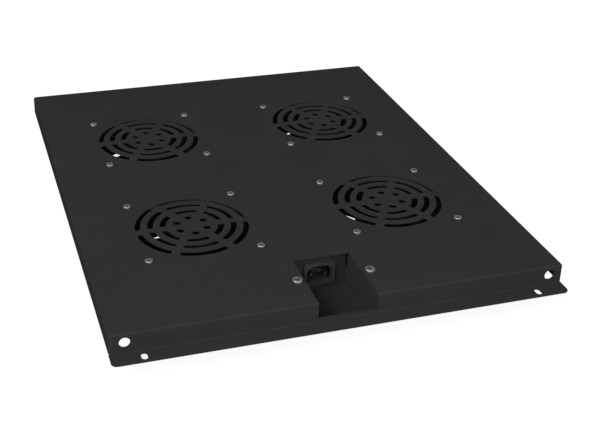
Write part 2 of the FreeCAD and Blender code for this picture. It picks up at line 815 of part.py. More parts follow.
def make_impeller(name, x, y, phase):
    """A moulded hub with its blades, twisted so that the lead is the same at every radius."""
    body = new_body("impeller_" + name, x, y, turn=phase)
    tip = sizes.barrel_bore - sizes.tip_clearance
    top = sizes.cup_top + sizes.hub_cap_thickness
    hub = new_sketch(body, "hub_" + name, height=sizes.hub_bottom)
    draw_circle(hub, sizes.hub_radius)
    boss = extrude(body, "Pad", hub, top - sizes.hub_bottom)
    round_edges(body, boss, lambda edge: lies_at(edge, "Z", top), sizes.hub_round,
                "hub_round_" + name)
    sections = []
    reach = sizes.barrel_bore - sizes.blade_root
    for step in range(3):
        radius = sizes.blade_root + reach * step / 2
        pitch = arctangent(sizes.blade_lead / (2 * math.pi * radius))
        chord = sizes.blade_height / sine(pitch)
        section = new_sketch(body, "blade_section_%d_%s" % (step, name), "YZ_Plane",
                             height=radius)
        draw_bowed_strip(section, chord, sizes.blade_camber, sizes.blade_thickness, pitch,
                         sizes.blade_middle)
        sections.append(section)
    blade = body.newObject("PartDesign::AdditiveLoft", "blade_" + name)
    blade.Profile = sections[0]
    blade.Sections = sections[1:]
    polar_pattern(body, [blade], sizes.blade_count, "blades_" + name)
    trim = new_sketch(body, "tip_trim_" + name)
    draw_circle(trim, tip)
    draw_circle(trim, 2 * tip)
    cavity = new_sketch(body, "hub_cavity_" + name)
    draw_circle(cavity, sizes.cup_radius)
    cuts = (extrude(body, "Pocket", trim, 2 * sizes.fan_depth),
            extrude(body, "Pocket", cavity, sizes.cup_top))
    for cut in cuts:
        cut.Refine = False


def make_rotor(name, x, y, phase):
    """The steel cup inside the hub, the cage that lines it, and the shaft pressed into its boss."""
    cup = new_body("rotor_cup_" + name, x, y, turn=phase)
    wall = sizes.cup_wall
    profile = new_sketch(cup, "cup_profile_" + name, "XZ_Plane")
    ceiling = sizes.cup_top - wall
    boss_foot = ceiling - sizes.cup_boss_height
    draw_polygon(profile, (
        (sizes.shaft_radius, boss_foot), (sizes.cup_boss_radius, boss_foot),
        (sizes.cup_boss_radius, ceiling), (cup_inner, ceiling),
        (cup_inner, sizes.hub_bottom), (sizes.cup_radius, sizes.hub_bottom),
        (sizes.cup_radius, sizes.cup_top), (sizes.shaft_radius, sizes.cup_top)))
    turn_about_axis(cup, "Revolution", profile)
    cage = new_body("rotor_cage_" + name, x, y, turn=phase)
    ring = new_sketch(cage, "cage_ring_" + name, height=sizes.core_foot)
    draw_circle(ring, cup_inner)
    draw_circle(ring, cup_inner - sizes.cage_thickness)
    extrude(cage, "Pad", ring, sizes.core_height)
    shaft = new_body("shaft_" + name, x, y, turn=phase)
    foot = new_sketch(shaft, "shaft_end_" + name, height=sizes.shaft_foot)
    draw_circle(foot, sizes.shaft_radius)
    extrude(shaft, "Pad", foot, sizes.cup_top - sizes.shaft_foot)
    clip = new_body("shaft_ring_" + name, x, y, turn=phase)
    level = sizes.bush_foot - sizes.ring_clearance - sizes.ring_thickness
    washer = new_sketch(clip, "shaft_ring_outline_" + name, height=level)
    draw_circle(washer, sizes.shaft_radius + sizes.ring_wall)
    draw_circle(washer, sizes.shaft_radius)
    extrude(clip, "Pad", washer, sizes.ring_thickness)


def make_stator(name, x, y):
    """The bush in the motor's tube, the laminated core round the tube, and a coil on each pole."""
    bush = new_body("bearing_bush_" + name, x, y)
    sleeve = new_sketch(bush, "bush_" + name, height=sizes.bush_foot)
    draw_circle(sleeve, bush_outer)
    draw_circle(sleeve, bush_bore)
    extrude(bush, "Pad", sleeve, sizes.bush_height)
    core = new_body("stator_core_" + name, x, y)
    yoke_radius = tube_outer + sizes.core_yoke
    yoke = new_sketch(core, "yoke_" + name, height=sizes.core_foot)
    draw_circle(yoke, yoke_radius)
    draw_circle(yoke, tube_outer)
    extrude(core, "Pad", yoke, sizes.core_height)
    shoe_inner = core_radius - sizes.pole_shoe_thickness
    half_pole = sizes.pole_width / 2
    pole = new_sketch(core, "pole_" + name, height=sizes.core_foot)
    draw_rectangle(pole, -half_pole, half_pole, tube_outer + sizes.core_yoke / 2,
                   shoe_inner + sizes.pole_shoe_thickness / 2)
    shoe = new_sketch(core, "pole_shoe_" + name, height=sizes.core_foot)
    draw_sector_slot(shoe, shoe_inner, core_radius, sizes.pole_gap,
                     sizes.pole_shoe_thickness / 6, sizes.pole_count)
    teeth = [extrude(core, "Pad", pole, sizes.core_height),
             extrude(core, "Pad", shoe, sizes.core_height)]
    polar_pattern(core, teeth, sizes.pole_count, "poles_" + name)
    make_coils(name, x, y, yoke_radius, shoe_inner)


def make_coils(name, x, y, yoke_radius, shoe_inner):
    """Four coils, each a rounded ring round its pole, between the yoke and the pole's shoe."""
    coils = new_body("stator_coils_" + name, x, y)
    half_pole = sizes.pole_width / 2
    wound = half_pole + sizes.coil_thickness
    inner = yoke_radius + sizes.coil_clearance
    outer = shoe_inner * cosine(arcsine(wound / shoe_inner)) - sizes.coil_clearance
    foot = sizes.core_foot
    top = sizes.core_foot + sizes.core_height
    coil = new_sketch(coils, "coil_" + name, "XZ_Plane", height=-outer)
    draw_rounded_rectangle(coil, -wound, wound, foot - sizes.coil_thickness,
                           top + sizes.coil_thickness, sizes.coil_thickness)
    draw_rectangle(coil, -half_pole, half_pole, foot, top)
    turns = extrude(coils, "Pad", coil, outer - inner)
    polar_pattern(coils, [turns], sizes.pole_count, "coils_" + name)


def make_terminals(name, x, y, turn):
    """The moulded block in the barrel's window, and the two tabs that stand out of it."""
    block = new_body("terminal_block_" + name, x, y, turn=turn)
    side = sizes.terminal_width / 2
    middle = sizes.fan_depth / 2
    low = middle - sizes.terminal_height / 2
    high = middle + sizes.terminal_height / 2
    outline = new_sketch(block, "terminal_outline_" + name, "YZ_Plane",
                         height=sizes.barrel_bore)
    draw_rectangle(outline, -side, side, low, high)
    extrude(block, "Pad", outline, sizes.barrel_wall)
    tabs = new_body("terminal_tabs_" + name, x, y, turn=turn)
    tab = new_sketch(tabs, "tab_" + name, "YZ_Plane", height=barrel_outer)
    centre = sizes.tab_spacing / 2
    half = sizes.tab_thickness / 2
    draw_rectangle(tab, centre - half, centre + half, middle - sizes.tab_width / 2,
                   middle + sizes.tab_width / 2)
    blade = extrude(tabs, "Pad", tab, sizes.tab_reach)
    polar = tabs.newObject("PartDesign::Mirrored", "tab_pair_" + name)
    polar.Originals = [blade]
    polar.MirrorPlane = (origin_feature(tabs, "XZ_Plane"), [""])
    tabs.Tip = polar


def make_fan_screws():
    """Sixteen pan head screws."""
    body = new_body("fan_screws", y=grid_y, z=plate_top)
    radius = sizes.fan_screw_radius
    head = sizes.fan_screw_head_radius
    height = sizes.fan_screw_head_height
    draw_screws(body, "fan_screw", -grid_half - hole_half, -grid_half - hole_half, radius,
                sizes.fan_screw_length, head, height, screw_steps())


def draw_screws(body, name, x, y, radius, length, head, height, steps):
    """Pan head screws that stand on the sheet, copied by steps."""
    profile = new_sketch(body, name + "_profile", "XZ_Plane", height=-y, x=x)
    draw_polygon(profile, (
        (0, -length), (radius, -length), (radius, 0), (head, 0),
        (head, height * sizes.head_side_share),
        (head * sizes.head_shoulder_radius_share, height * sizes.head_shoulder_share),
        (head * sizes.head_crown_radius_share, height), (0, height)))
    screw = body.newObject("PartDesign::Revolution", name + "_turned")
    screw.Profile = profile
    screw.ReferenceAxis = (profile, ["V_Axis"])
    screw.Angle = CIRCLE
    guide = new_sketch(body, name + "_guide")
    grid_pattern(body, [screw], guide, name + "_grid", steps)


def make_fan_nuts():
    """Sixteen nuts under the fans' upper flanges."""
    level = plate_underside - sizes.fan_flange_thickness
    body = new_body("fan_nuts", y=grid_y, z=level)
    draw_nuts(body, "fan_nut", -grid_half - hole_half, -grid_half - hole_half,
              sizes.fan_nut_across_flats, sizes.fan_nut_height,
              sizes.fan_screw_radius + sizes.thread_clearance, screw_steps())


def draw_nuts(body, name, x, y, across, height, bore, steps):
    """Hexagon nuts that hang below the body's own ground plane, copied by steps."""
    outline = new_sketch(body, name + "_outline")
    side = across / math.sqrt(3)
    corners = ((x + side, y), (x + side / 2, y + across / 2), (x - side / 2, y + across / 2),
               (x - side, y), (x - side / 2, y - across / 2), (x + side / 2, y - across / 2))
    draw_polygon(outline, corners)
    draw_circle(outline, bore, x, y)
    nut = extrude(body, "Pad", outline, height, down=True)
    grid_pattern(body, [nut], outline, name + "_grid", steps)


def make_bracket():
    """The bent box under the recess: floor, two side walls with tabs, and the rear wall."""
    body = new_body("inlet_bracket", y=grid_y + bracket_wall, z=plate_underside)
    wall = sizes.sheet_thickness
    half = sizes.bracket_width / 2
    floor = -(sizes.bracket_height - wall)
    length = bracket_wall - (front_face + wall) - sizes.bracket_front_gap
    tab = half + wall + sizes.bracket_tab_reach
    outer_bend = sizes.bend_radius
    inner_bend = outer_bend - wall
    hat = new_sketch(body, "bracket_hat", "XZ_Plane")
    draw_square_outline(hat, (
        (-tab, 0), (-half, 0, outer_bend), (-half, floor, inner_bend),
        (half, floor, inner_bend), (half, 0, outer_bend), (tab, 0), (tab, -wall),
        (half + wall, -wall, inner_bend), (half + wall, floor - wall, outer_bend),
        (-half - wall, floor - wall, outer_bend), (-half - wall, -wall, inner_bend),
        (-tab, -wall)))
    extrude(body, "Pad", hat, length)
    trim_bracket_tabs(body, half, wall, tab, length)
    rear = new_sketch(body, "bracket_rear", "YZ_Plane")
    draw_square_outline(rear, (
        (-outer_bend, floor - wall), (wall, floor - wall, outer_bend), (wall, 0), (0, 0),
        (0, floor, inner_bend), (-outer_bend, floor)))
    extrude(body, "Pad", rear, sizes.bracket_width - 2 * outer_bend, both_ways=True)
    raise_bracket_wall(body, half, wall, floor)
    cut_bracket_corner(body, wall, floor)
    window = new_sketch(body, "inlet_window", "XZ_Plane", height=wall)
    middle = -(sizes.inlet_drop - wall)
    across = sizes.inlet_body_width / 2 + sizes.inlet_body_clearance
    tall = sizes.inlet_body_height / 2 + sizes.inlet_body_clearance
    draw_rectangle(window, -across, across, middle - tall, middle + tall)
    extrude(body, "Pocket", window, 3 * wall, down=True)
    holes = new_sketch(body, "bracket_hole", height=wall)
    draw_circle(holes, sizes.bracket_hole_radius, -bracket_screw_spacing / 2,
                -sizes.bracket_screw_reach)
    cut = extrude(body, "Pocket", holes, 3 * wall, down=True)
    grid_pattern(body, [cut], holes, "bracket_holes", (("H", bracket_screw_spacing),))


def raise_bracket_wall(body, half, wall, floor):
    """The flat of the rear wall. It laps the side walls' ends down to the floor, and slits part
    them higher up."""
    bend = sizes.bend_radius
    lap = half + wall
    neck = half - sizes.bracket_relief
    slit_foot = wall - sizes.bracket_slit_drop
    foot = floor + bend
    bottom = floor - wall
    face = new_sketch(body, "bracket_face", "XZ_Plane")
    draw_polygon(face, (
        (half - bend, foot), (half - bend, bottom), (lap - bend, bottom), (lap, bottom + bend),
        (lap, slit_foot), (neck, slit_foot), (neck, 0), (-neck, 0), (-neck, slit_foot),
        (-lap, slit_foot), (-lap, bottom + bend), (bend - lap, bottom), (bend - half, bottom),
        (bend - half, foot)))
    extrude(body, "Pad", face, wall, down=True)


def cut_bracket_corner(body, wall, floor):
    """The sloping front of the side walls, which keeps the box above the flange's line."""
    front = front_face + wall + sizes.bracket_front_gap - bracket_wall
    cut = sizes.bracket_front_chamfer
    corner = new_sketch(body, "bracket_front_corner", "YZ_Plane")
    draw_polygon(corner, (
        (front - wall, floor - 2 * wall), (front + cut + wall, floor - 2 * wall),
        (front - wall, floor + cut)))
    extrude(body, "Pocket", corner, 2 * sizes.bracket_width, both_ways=True)


def trim_bracket_tabs(body, half, wall, tab, length):
    """Leaves a short tab at each screw where the folded edge would run the whole length."""
    ahead = -sizes.bracket_screw_reach - sizes.bracket_tab_length / 2
    behind = -sizes.bracket_screw_reach + sizes.bracket_tab_length / 2
    spans = (("front", -length - wall, ahead), ("rear", behind, wall))
    cuts = []
    for name, start, end in spans:
        strip = new_sketch(body, "bracket_strip_" + name, height=wall)
        draw_rectangle(strip, half + wall, tab + wall, start, end)
        cuts.append(extrude(body, "Pocket", strip, sizes.bend_radius + 2 * wall, down=True))
    pair = body.newObject("PartDesign::Mirrored", "bracket_strips")
    pair.Originals = cuts
    pair.MirrorPlane = (origin_feature(body, "YZ_Plane"), [""])
    body.Tip = pair


def make_bracket_fasteners():
    screws = new_body("bracket_screws", y=grid_y, z=plate_top)
    across = (("H", bracket_screw_spacing),)
    draw_screws(screws, "bracket_screw", -bracket_screw_spacing / 2, bracket_screw_y,
                sizes.bracket_screw_radius, sizes.bracket_screw_length,
                sizes.bracket_screw_head_radius, sizes.bracket_screw_head_height, across)
    nuts = new_body("bracket_nuts", y=grid_y, z=plate_underside - sizes.sheet_thickness)
    draw_nuts(nuts, "bracket_nut", -bracket_screw_spacing / 2, bracket_screw_y,
              sizes.bracket_nut_across_flats, sizes.bracket_nut_height,
              sizes.bracket_screw_radius + sizes.thread_clearance, across)


def inlet_body(label):
    """A body whose origin is amid the inlet, on the front of the bracket's rear wall."""
    return new_body(label, y=grid_y + bracket_wall, z=plate_top - sizes.inlet_drop)


def make_inlet_housing():
    body = inlet_body("inlet_housing")
    half = sizes.inlet_width / 2
    tall = sizes.inlet_height / 2
    flange = new_sketch(body, "inlet_flange", "XZ_Plane")
    draw_rounded_rectangle(flange, -half, half, -tall, tall, sizes.inlet_flange_corner)
    extrude(body, "Pad", flange, sizes.inlet_flange_thickness)
    shell = new_sketch(body, "inlet_shell", "XZ_Plane")
    across = sizes.inlet_body_width / 2
    deep = sizes.inlet_body_height / 2
    draw_rectangle(shell, -across, across, -deep, deep)
    extrude(body, "Pad", shell, sizes.inlet_body_length, down=True)
    wing = new_sketch(body, "inlet_wing", height=-sizes.wing_height / 2)
    start = sizes.sheet_thickness
    draw_polygon(wing, (
        (across, start), (across + sizes.wing_reach, start),
        (across, start + sizes.wing_length)))
    catch = extrude(body, "Pad", wing, sizes.wing_height)
    pair = body.newObject("PartDesign::Mirrored", "inlet_wings")
    pair.Originals = [catch]
    pair.MirrorPlane = (origin_feature(body, "YZ_Plane"), [""])
    body.Tip = pair
    cavity = new_sketch(body, "inlet_cavity", "XZ_Plane", height=sizes.inlet_flange_thickness)
    wide = sizes.inlet_cavity_width / 2
    high = sizes.inlet_cavity_height / 2
    cut = sizes.inlet_cavity_chamfer
    draw_polygon(cavity, (
        (-wide, -high), (wide, -high), (wide, high - cut), (wide - cut, high),
        (cut - wide, high), (-wide, high - cut)))
    depth = sizes.inlet_flange_thickness + sizes.inlet_body_length - sizes.inlet_floor
    extrude(body, "Pocket", cavity, depth, down=True)
    for name, x, z in pin_places():
        hole = new_sketch(body, "pin_hole_" + name, "XZ_Plane",
                          height=-sizes.inlet_body_length)
        draw_pin_section(hole, x, z, sizes.pin_thickness)
        extrude(body, "Pocket", hole, sizes.inlet_floor)


def pin_places():
    """The three pins by name, with their middles."""
    half = sizes.pin_spacing / 2
    return (("line", -half, -sizes.pin_drop), ("neutral", half, -sizes.pin_drop),
            ("earth", 0, sizes.earth_pin_rise))


def draw_pin_section(sketch, x, z, thickness):
    half = thickness / 2
    tall = sizes.pin_width / 2
    draw_rectangle(sketch, x - half, x + half, z - tall, z + tall)


def make_inlet_pins():
    """Three blades that pass the housing's floor and end in tabs behind it."""
    body = inlet_body("inlet_pins")
    tip = sizes.inlet_flange_thickness - sizes.pin_recess
    length = tip + sizes.inlet_body_length
    for name, x, z in pin_places():
        blade = new_sketch(body, "pin_" + name, "XZ_Plane", height=tip)
        draw_pin_section(blade, x, z, sizes.pin_thickness)
        extrude(body, "Pad", blade, length, down=True)
        tab = new_sketch(body, "pin_tab_" + name, "XZ_Plane", height=-sizes.inlet_body_length)
        draw_pin_section(tab, x, z, sizes.pin_tab_thickness)
        extrude(body, "Pad", tab, sizes.pin_tab_length, down=True)


def make_fans():
    """Each fan's pieces. The right-hand fans are turned, so that all terminals face inwards."""
    for name, right, rear, phase in FANS:
        x = right * grid_half
        y = grid_y + rear * grid_half
        turn = 0 if right < 0 else CIRCLE / 2
        make_fan_frame(name, x, y, turn)
        make_terminals(name, x, y, turn)
        make_stator(name, x, y)
        make_impeller(name, x, y, phase)
        make_rotor(name, x, y, phase)


def check_model():
    """Stops where an object failed or a sub-part has no sound shape."""
    for thing in doc.Objects:
        if "Invalid" in thing.State or "Error" in thing.State:
            raise RuntimeError("%s failed: %s" % (thing.Name, thing.State))
    for body in sub_parts:
        if body.Shape.isNull() or not body.Shape.isValid() or not body.Shape.Solids:
            raise RuntimeError("%s has no sound shape" % body.Label)


def write_parts():
    os.makedirs("parts", exist_ok=True)
    for body in sub_parts:
        body.Shape.exportStep("parts/%s.step" % body.Label)
        box = body.Shape.BoundBox
        print("%-28s solids %2d  volume %9.1f  x %.2f %.2f  y %.2f %.2f  z %.2f %.2f" % (
            body.Label, len(body.Shape.Solids), body.Shape.Volume, box.XMin, box.XMax,
            box.YMin, box.YMax, box.ZMin, box.ZMax))


make_tray_plate()
make_fan_screws()
make_fan_nuts()
make_bracket()
make_bracket_fasteners()
make_inlet_housing()
make_inlet_pins()
make_fans()
doc.recompute()
check_model()
write_parts()
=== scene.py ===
# %% [markdown]
# # A rack fan tray
# A network rack warms up, so a tray of fans is bolted under its roof. This one is a bent steel sheet
# that carries four mains fans under stamped grilles, with a mains inlet in a recess at the front.
# The CAD model holds every size, place and joint. Here each of its nodes gets a finish, and the
# pieces whose small rounds and recesses catch the light are modelled again in the same place.

# %% Load the CAD model as the frame
import math

import bmesh
import bpy
from mathutils import Matrix, Vector


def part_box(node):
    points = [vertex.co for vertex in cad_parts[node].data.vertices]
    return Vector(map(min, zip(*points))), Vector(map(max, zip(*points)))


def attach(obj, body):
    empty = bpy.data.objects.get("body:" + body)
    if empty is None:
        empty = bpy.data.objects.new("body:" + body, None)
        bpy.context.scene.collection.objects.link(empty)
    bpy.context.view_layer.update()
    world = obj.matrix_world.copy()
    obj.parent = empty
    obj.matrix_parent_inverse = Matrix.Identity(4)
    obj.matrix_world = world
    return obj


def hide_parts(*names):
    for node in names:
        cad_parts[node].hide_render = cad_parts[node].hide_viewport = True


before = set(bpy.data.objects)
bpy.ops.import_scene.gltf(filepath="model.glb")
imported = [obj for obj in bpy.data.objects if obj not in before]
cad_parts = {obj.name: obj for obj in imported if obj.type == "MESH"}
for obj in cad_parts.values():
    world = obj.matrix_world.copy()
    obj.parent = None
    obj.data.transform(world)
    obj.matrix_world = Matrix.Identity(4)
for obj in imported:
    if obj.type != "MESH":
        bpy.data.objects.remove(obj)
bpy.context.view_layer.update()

MM = 0.001

# %% [markdown]
# ## Places taken from the CAD
# Everything below is in metres, in the frame of the CAD model, so the boxes of its nodes say where
# a new piece goes. The sheet's thickness and its bends can't be read from a box, and are named here.

# %% Sizes of the tray
SHEET = 1.2 * MM
BEND = 2.0 * MM
CORNER = 3.0 * MM
FLANGE_REACH = 15.5 * MM
GRILLE_RISE = 1.4 * MM

tray_low, tray_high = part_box("tray_plate")
plate_top = tray_high.z - GRILLE_RISE
flange_top = tray_low.z + SHEET
front_face = tray_low.y + FLANGE_REACH
fan_centres = []
for place in ("front_left", "front_right", "rear_left", "rear_right"):
    low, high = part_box("shaft_" + place)
    fan_centres.append((low + high) / 2)
print("plate top", round(plate_top / MM, 2), "front face", round(front_face / MM, 2))

# %% [markdown]
# ## Finishes
# A finish is a Principled shader with its even values on its own sockets, and a few texture nodes
# for what varies: the grain in the paint, the mottle of zinc, the lines that a lathe leaves.
# All of them read Object coordinates. Every piece sits at the origin, so those are metres.

# %% Node helpers
def srgb(grey, tint=(1, 1, 1)):
    """A linear colour from a grey level of 0 to 255, with a tint."""
    level = grey / 255
    linear = level / 12.92 if level <= 0.04045 else ((level + 0.055) / 1.055) ** 2.4
    return tuple(linear * part for part in tint)


def new_finish(name, colour, roughness, metallic=0.0, specular=0.5):
    """A material whose even values sit on the shader's own sockets."""
    finish = bpy.data.materials.new(name)
    finish.use_nodes = True
    shader = finish.node_tree.nodes["Principled BSDF"]
    shader.inputs["Base Color"].default_value = (*colour, 1)
    shader.inputs["Roughness"].default_value = roughness
    shader.inputs["Metallic"].default_value = metallic
    shader.inputs["Specular IOR Level"].default_value = specular
    return finish


def add_noise(finish, size, detail=3.0, stretch=(1, 1, 1)):
    """A noise texture whose features are about one size in metres, or stretched along an axis."""
    nodes, links = finish.node_tree.nodes, finish.node_tree.links
    place = nodes.new("ShaderNodeTexCoord")
    mapping = nodes.new("ShaderNodeMapping")
    mapping.inputs["Scale"].default_value = tuple(1 / (size * way) for way in stretch)
    noise = nodes.new("ShaderNodeTexNoise")
    noise.inputs["Scale"].default_value = 1.0
    noise.inputs["Detail"].default_value = detail
    links.new(place.outputs["Object"], mapping.inputs["Vector"])
    links.new(mapping.outputs["Vector"], noise.inputs["Vector"])
    return noise.outputs["Fac"]


def spread(finish, source, low, high):
    """Turns a texture's usual middle range into the range between two numbers."""
    fit = finish.node_tree.nodes.new("ShaderNodeMapRange")
    fit.inputs["From Min"].default_value = 0.3
    fit.inputs["From Max"].default_value = 0.7
    fit.inputs["To Min"].default_value = low
    fit.inputs["To Max"].default_value = high
    finish.node_tree.links.new(source, fit.inputs["Value"])
    return fit.outputs["Result"]


def vary_roughness(finish, source, low, high):
    shader = finish.node_tree.nodes["Principled BSDF"]
    finish.node_tree.links.new(spread(finish, source, low, high), shader.inputs["Roughness"])


def vary_colour(finish, source, dark, light):
    """Blends the base colour between two colours."""
    nodes, links = finish.node_tree.nodes, finish.node_tree.links
    blend = nodes.new("ShaderNodeMix")
    blend.data_type = "RGBA"
    blend.inputs["A"].default_value = (*dark, 1)
    blend.inputs["B"].default_value = (*light, 1)
    links.new(spread(finish, source, 0, 1), blend.inputs["Factor"])
    links.new(blend.outputs["Result"], nodes["Principled BSDF"].inputs["Base Color"])


def add_bumps(finish, sources, depth):
    """Roughens the surface by the sum of one or two textures, to a depth in metres."""
    nodes, links = finish.node_tree.nodes, finish.node_tree.links
    height = sources[0]
    for source in sources[1:]:
        total = nodes.new("ShaderNodeMath")
        links.new(height, total.inputs[0])
        links.new(source, total.inputs[1])
        height = total.outputs["Value"]
    bump = nodes.new("ShaderNodeBump")
    bump.inputs["Distance"].default_value = depth
    links.new(height, bump.inputs["Height"])
    links.new(bump.outputs["Normal"], nodes["Principled BSDF"].inputs["Normal"])


print("node helpers ready")

# %% [markdown]
# ### Powder coat
# The tray is sprayed with black powder and baked. The paint flows into a fine, soft grain that hides
# the steel below it. It scatters light widely, so the sheet looks dark grey and almost even. It is
# left without gloss: even a little makes the left side, which is seen at a low angle, mirror its
# white surroundings as a pale strip that the picture does not show. Two noises make the grain, one
# for its grit and a larger one for the slow waves in the paint.

# %% Powder coat
powder = new_finish("powder_coat", srgb(47), 0.4, specular=0.0)
grit = add_noise(powder, 0.7 * MM, detail=2.0)
waves = add_noise(powder, 4 * MM, detail=1.0)
add_bumps(powder, (grit, waves), 0.06 * MM)
vary_roughness(powder, grit, 0.36, 0.46)
clouds = add_noise(powder, 45 * MM, detail=2.0)
vary_colour(powder, clouds, srgb(46), srgb(48))
print(powder.name, "has", len(powder.node_tree.nodes), "nodes")

# %% [markdown]
# ### Metals
# The screws are zinc plated and bright. The plating is not quite even, so a fine mottle moves their
# roughness. The motor's steel, the bronze bush and the copper coils show lathe or winding lines.

# %% Zinc, nickel and the motor's metals
zinc = new_finish("bright_zinc", srgb(160, (1.0, 0.995, 0.98)), 0.45, metallic=1.0)
mottle = add_noise(zinc, 0.8 * MM)
vary_roughness(zinc, mottle, 0.38, 0.52)
add_bumps(zinc, (mottle,), 0.01 * MM)

nickel = new_finish("nickel_plate", srgb(214, (1.0, 0.975, 0.93)), 0.22, metallic=1.0)
vary_roughness(nickel, add_noise(nickel, 0.5 * MM, stretch=(1, 8, 1)), 0.16, 0.3)

steel = new_finish("drawn_steel", srgb(150, (1.0, 1.0, 1.01)), 0.35, metallic=1.0)
lines = add_noise(steel, 0.3 * MM, stretch=(30, 30, 1))
vary_roughness(steel, lines, 0.28, 0.45)
add_bumps(steel, (lines,), 0.01 * MM)

laminations = new_finish("laminations", srgb(120, (1.0, 0.99, 0.98)), 0.5, metallic=1.0)
layers = add_noise(laminations, 0.5 * MM, detail=0.0, stretch=(40, 40, 1))
vary_colour(laminations, layers, srgb(80), srgb(140))
add_bumps(laminations, (layers,), 0.05 * MM)

bronze = new_finish("sintered_bronze", srgb(150, (1.0, 0.72, 0.42)), 0.5, metallic=1.0)
add_bumps(bronze, (add_noise(bronze, 0.2 * MM),), 0.02 * MM)

copper = new_finish("varnished_copper", srgb(165, (1.0, 0.5, 0.28)), 0.3, metallic=1.0)
strands = add_noise(copper, 0.35 * MM, detail=0.0, stretch=(30, 30, 1))
add_bumps(copper, (strands,), 0.08 * MM)
print("metals", zinc.name, nickel.name, steel.name, laminations.name, bronze.name, copper.name)

# %% [markdown]
# ### Mouldings and castings
# The inlet is a satin black moulding with a little shine. The impellers are a duller moulding, and
# the fan frames are die cast and sprayed black, with a faintly pebbled skin. Both are left without
# gloss too, since through the slots they are seen at a low angle.

# %% Plastics and the cast frames
satin = new_finish("satin_moulding", srgb(46), 0.38, specular=0.4)
skin = add_noise(satin, 0.4 * MM)
vary_roughness(satin, skin, 0.32, 0.46)
add_bumps(satin, (skin,), 0.01 * MM)

blade_plastic = new_finish("impeller_moulding", srgb(24), 0.6, specular=0.0)
vary_colour(blade_plastic, add_noise(blade_plastic, 3 * MM), srgb(22), srgb(26))
add_bumps(blade_plastic, (add_noise(blade_plastic, 0.5 * MM),), 0.01 * MM)

casting = new_finish("painted_casting", srgb(30), 0.6, specular=0.0)
pebbles = add_noise(casting, 0.9 * MM)
vary_colour(casting, pebbles, srgb(27), srgb(33))
add_bumps(casting, (pebbles,), 0.05 * MM)

block_plastic = new_finish("terminal_moulding", srgb(48), 0.55, specular=0.4)
add_bumps(block_plastic, (add_noise(block_plastic, 0.4 * MM),), 0.02 * MM)
print("plastics", satin.name, blade_plastic.name, casting.name, block_plastic.name)

# %% [markdown]
# ## Dress the CAD nodes
# Most nodes already have the right shape. Each gets its finish by the start of its name.

# %% Give every node its finish
FINISHES = {
    "tray_plate": powder, "inlet_bracket": powder, "fan_screws": zinc, "bracket_screws": zinc,
    "fan_nuts": zinc, "bracket_nuts": zinc, "inlet_housing": satin, "inlet_pins": nickel,
    "fan_frame": casting, "terminal_block": block_plastic, "terminal_tabs": nickel,
    "bearing_bush": bronze, "stator_core": laminations, "stator_coils": copper,
    "impeller": blade_plastic, "rotor_cup": steel, "rotor_cage": laminations, "shaft": steel,
    "shaft_ring": steel,
}


def finish_for(node_name):
    """The finish whose key is the longest start of a node's name."""
    keys = [key for key in FINISHES if node_name.startswith(key)]
    return FINISHES[max(keys, key=len)]


for name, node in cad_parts.items():
    node.data.materials.clear()
    node.data.materials.append(finish_for(name))
print("dressed", len(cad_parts), "nodes")

# %% [markdown]
# Moulded and pressed edges are never quite sharp. A narrow Bevel modifier gives the inlet and its
# pins an edge that catches a line of light.

# %% Soften the inlet's edges
for name, width in (("inlet_housing", 0.3 * MM), ("inlet_pins", 0.25 * MM)):
    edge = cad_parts[name].modifiers.new("soft_edges", "BEVEL")
    edge.width = width
    edge.segments = 2
    edge.limit_method = "ANGLE"
    edge.angle_limit = math.radians(40)
    edge.harden_normals = False
    print(name, "edges softened by", round(width / MM, 2), "mm")

# %% [markdown]
# ## Helpers for new pieces
# A new piece starts as a bmesh, which is an editable mesh in memory. When it is done it becomes an
# object that rides on a body of the CAD model, so that it moves with the joints.

# %% Turn a bmesh into a piece
def wrap(mesh, name):
    """An object from a bmesh, linked to the scene."""
    data = bpy.data.meshes.new(name)
    mesh.to_mesh(data)
    mesh.free()
    piece = bpy.data.objects.new(name, data)
    bpy.context.scene.collection.objects.link(piece)
    return piece


def cut_away(piece, cutter):
    """Takes a cutter's shape out of a piece, and removes the cutter."""
    boolean = piece.modifiers.new("cut", "BOOLEAN")
    boolean.operation = "DIFFERENCE"
    boolean.solver = "EXACT"
    boolean.object = cutter
    apply_modifiers(piece)
    bpy.data.objects.remove(cutter)


def apply_modifiers(piece):
    """Replaces a piece's mesh by what its modifiers make of it."""
    graph = bpy.context.evaluated_depsgraph_get()
    shaped = bpy.data.meshes.new_from_object(piece.evaluated_get(graph))
    piece.modifiers.clear()
    piece.data = shaped


def settle(piece, finish, nodes, body="tray", smooth_below=30):
    """Finishes a piece and puts it in place of its CAD nodes."""
    piece.data.materials.clear()
    piece.data.materials.append(finish)
    piece.data.shade_smooth()
    piece.data.set_sharp_from_angle(angle=math.radians(smooth_below))
    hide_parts(*nodes)
    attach(piece, body)
    print(piece.name, "faces", len(piece.data.polygons))


def vertices_of(geometry):
    return [item for item in geometry if isinstance(item, bmesh.types.BMVert)]


def everything(mesh):
    return mesh.verts[:] + mesh.edges[:] + mesh.faces[:]


def repeat(mesh, places):
    """Copies of all of a bmesh, one by each matrix, instead of the first."""
    first = everything(mesh)
    for matrix in places:
        copy = bmesh.ops.duplicate(mesh, geom=first)["geom"]
        bmesh.ops.transform(mesh, matrix=matrix, verts=vertices_of(copy))
    bmesh.ops.delete(mesh, geom=vertices_of(first), context="VERTS")


def add_to(mesh, other):
    """Moves another bmesh's geometry into the first one."""
    carrier = bpy.data.meshes.new("carrier")
    other.to_mesh(carrier)
    other.free()
    mesh.from_mesh(carrier)
    bpy.data.meshes.remove(carrier)


